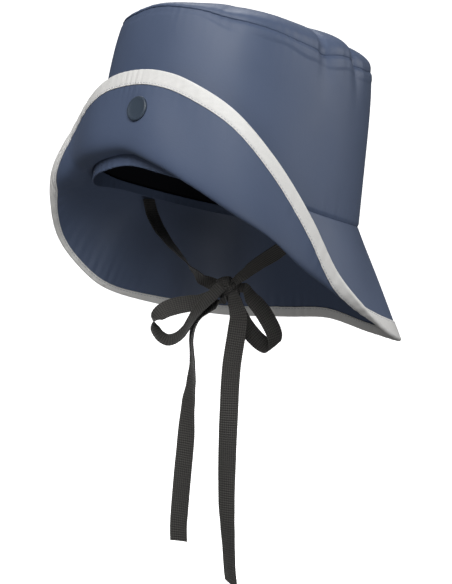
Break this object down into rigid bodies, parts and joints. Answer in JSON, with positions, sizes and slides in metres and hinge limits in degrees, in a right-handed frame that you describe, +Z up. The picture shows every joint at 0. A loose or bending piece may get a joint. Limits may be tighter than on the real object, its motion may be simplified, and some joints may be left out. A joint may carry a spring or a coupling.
{
  "type": "rain hat",
  "caption": "Soft coated rain hat with a turned-up front brim held by a snap, light bound edge and ribbon ties in a bow.",
  "frame": {"origin": "centre of the head opening, level with the seam between crown and brim", "axes": "-Y is the way the wearer looks, +X is the wearer's left, +Z is up with the hat tipped back about 14 degrees as it is worn"},
  "size_m": [0.2166, 0.1932, 0.3724],
  "materials": {
    "coated_cloth": "smooth semi-matte coating",
    "binding_tape": "satin reflective tape",
    "snap_plastic": "satin",
    "ribbon": "ribbed matte"
  },
  "bodies": {
    "root": {"crown_side": "coated_cloth", "crown_top": "coated_cloth", "brim": "coated_cloth", "brim_binding": "binding_tape", "inner_band": "coated_cloth", "snap_cap": "snap_plastic", "snap_socket": "snap_plastic", "tie_right": "ribbon", "tie_left": "ribbon", "bow_knot": "ribbon", "bow_loop_right": "ribbon", "bow_loop_left": "ribbon", "tie_end_right": "ribbon", "tie_end_left": "ribbon"}
  },
  "joints": []
}
